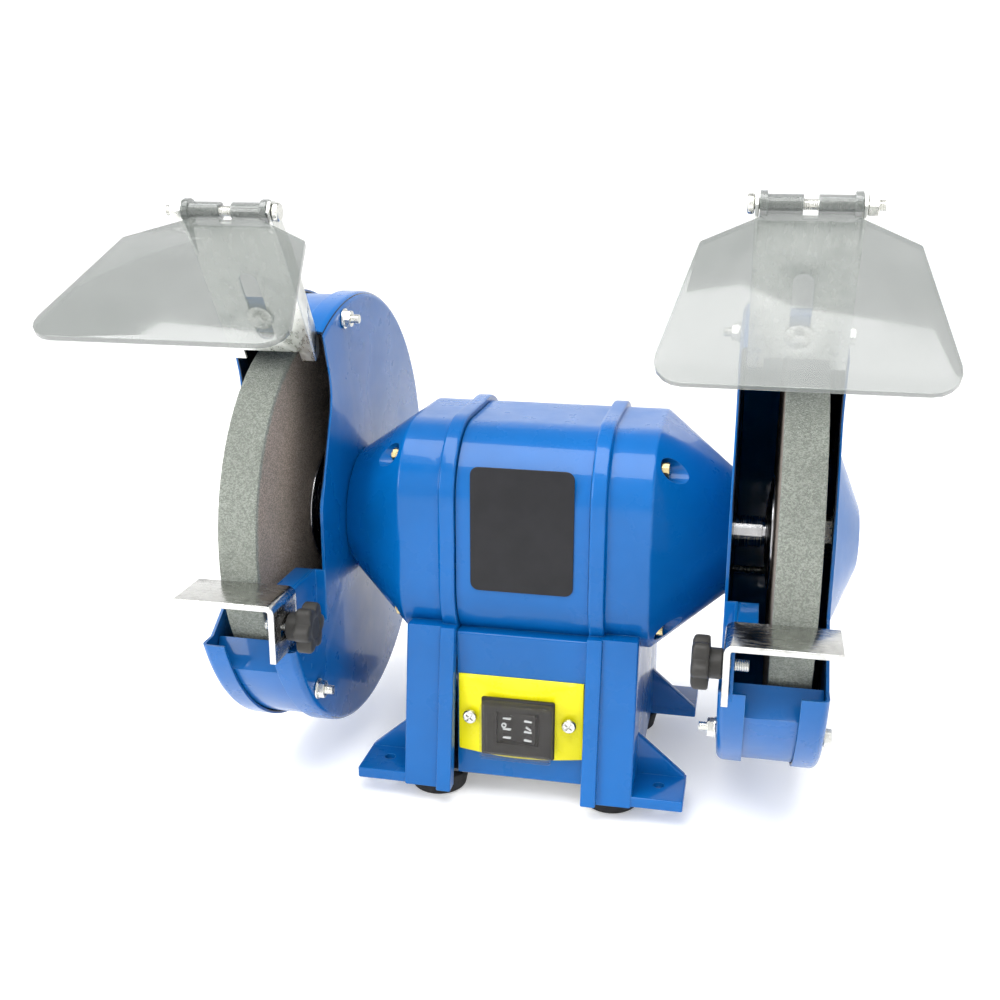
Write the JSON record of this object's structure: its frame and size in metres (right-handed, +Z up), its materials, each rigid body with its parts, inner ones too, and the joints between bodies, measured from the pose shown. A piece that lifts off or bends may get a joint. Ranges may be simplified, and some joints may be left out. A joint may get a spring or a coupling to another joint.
{
  "type": "bench grinder",
  "caption": "Bench grinder with a cast motor housing, a grinding wheel in a sheet guard at each end, sliding tool rests, tilting eye shields and a covered rocker switch.",
  "frame": {"origin": "on the bench, under the middle of the whole object's box", "axes": "+X along the shaft to the right of a person who faces the switch, -Y towards that person, +Z up"},
  "size_m": [0.3636, 0.2995, 0.319],
  "materials": {
    "blue_paint": "glossy enamel over castings and pressed sheet",
    "lamination_steel": "dull stacked laminations",
    "copper_winding": "varnished copper wire",
    "bright_steel": "ground bright",
    "zinc_steel": "zinc plated, slightly mottled",
    "black_rubber": "matt moulded rubber",
    "black_plastic": "fine moulded grain",
    "yellow_plastic": "smooth moulded",
    "grinding_stone": "coarse bonded grit",
    "clear_plastic": "clear, faintly green, polished"
  },
  "bodies": {
    "frame": {"base_plate": "lamination_steel", "cable_gland": "black_rubber", "capacitor": "black_plastic", "centre_housing": "blue_paint", "foot_front_left": "black_rubber", "foot_front_right": "black_rubber", "foot_rear_left": "black_rubber", "foot_rear_right": "black_rubber", "left_bearing": "bright_steel", "left_bracket_screw": "zinc_steel", "left_end_casting": "blue_paint", "left_guard_band": "blue_paint", "left_guard_bolt_front": "zinc_steel", "left_guard_bolt_rear": "zinc_steel", "left_guard_bolt_top": "zinc_steel", "left_inner_guard": "blue_paint", "left_outer_cover": "blue_paint", "left_winding": "copper_winding", "name_plate": "black_plastic", "plate_screw_left": "zinc_steel", "plate_screw_right": "zinc_steel", "right_bearing": "bright_steel", "right_bracket_screw": "zinc_steel", "right_end_casting": "blue_paint", "right_guard_band": "blue_paint", "right_guard_bolt_front": "zinc_steel", "right_guard_bolt_rear": "zinc_steel", "right_guard_bolt_top": "zinc_steel", "right_inner_guard": "blue_paint", "right_outer_cover": "blue_paint", "right_winding": "copper_winding", "stator_core": "lamination_steel", "switch_body": "black_plastic", "switch_cover": "clear_plastic", "switch_plate": "yellow_plastic", "through_bolt_lower_front": "zinc_steel", "through_bolt_lower_rear": "zinc_steel", "through_bolt_upper_front": "zinc_steel", "through_bolt_upper_rear": "zinc_steel"},
    "rotor": {"shaft": "bright_steel", "rotor_core": "lamination_steel", "left_wheel": "grinding_stone", "left_inner_flange": "zinc_steel", "left_outer_flange": "zinc_steel", "left_shaft_nut": "zinc_steel", "right_wheel": "grinding_stone", "right_inner_flange": "zinc_steel", "right_outer_flange": "zinc_steel", "right_shaft_nut": "zinc_steel"},
    "switch_rocker": {"switch_rocker": "black_plastic"},
    "left_bracket": {"left_shield_bracket": "zinc_steel", "left_hinge_bolt": "zinc_steel"},
    "left_shield": {"left_eye_shield": "clear_plastic"},
    "left_rest": {"left_tool_rest": "zinc_steel"},
    "left_knob": {"left_clamp_knob": "black_plastic"},
    "right_bracket": {"right_shield_bracket": "zinc_steel", "right_hinge_bolt": "zinc_steel"},
    "right_shield": {"right_eye_shield": "clear_plastic"},
    "right_rest": {"right_tool_rest": "zinc_steel"},
    "right_knob": {"right_clamp_knob": "black_plastic"}
  },
  "joints": [
    {"name": "wheel_spin", "type": "hinge", "parent": "frame", "child": "rotor", "pos_m": [0, 0.0312, 0.141], "axis": [1, 0, 0], "continuous": true},
    {"name": "switch_press", "type": "hinge", "parent": "frame", "child": "switch_rocker", "pos_m": [0, -0.0278, 0.047], "axis": [0, 0, 1], "range_deg": [0, 12]},
    {"name": "left_bracket_slide", "type": "slide", "parent": "frame", "child": "left_bracket", "axis": [0, -0.5299, 0.848], "range_m": [-0.006, 0.0114]},
    {"name": "left_shield_tilt", "type": "hinge", "parent": "left_bracket", "child": "left_shield", "pos_m": [-0.1265, -0.07021, 0.3068], "axis": [1, 0, 0], "range_deg": [-47, 28]},
    {"name": "left_rest_slide", "type": "slide", "parent": "frame", "child": "left_rest", "axis": [0, 1, 0], "range_m": [-0.0042, 0.0015]},
    {"name": "left_knob_turn", "type": "hinge", "parent": "frame", "child": "left_knob", "pos_m": [-0.1024, -0.0808, 0.114], "axis": [-1, 0, 0], "range_deg": [0, 360]},
    {"name": "right_bracket_slide", "type": "slide", "parent": "frame", "child": "right_bracket", "axis": [0, -0.5299, 0.848], "range_m": [-0.014, 0.0035]},
    {"name": "right_shield_tilt", "type": "hinge", "parent": "right_bracket", "child": "right_shield", "pos_m": [0.1265, -0.0744, 0.3135], "axis": [1, 0, 0], "range_deg": [-60, 16]},
    {"name": "right_rest_slide", "type": "slide", "parent": "frame", "child": "right_rest", "axis": [0, 1, 0], "range_m": [-0.0042, 0.0015]},
    {"name": "right_knob_turn", "type": "hinge", "parent": "frame", "child": "right_knob", "pos_m": [0.1024, -0.0808, 0.114], "axis": [1, 0, 0], "range_deg": [0, 360]}
  ]
}
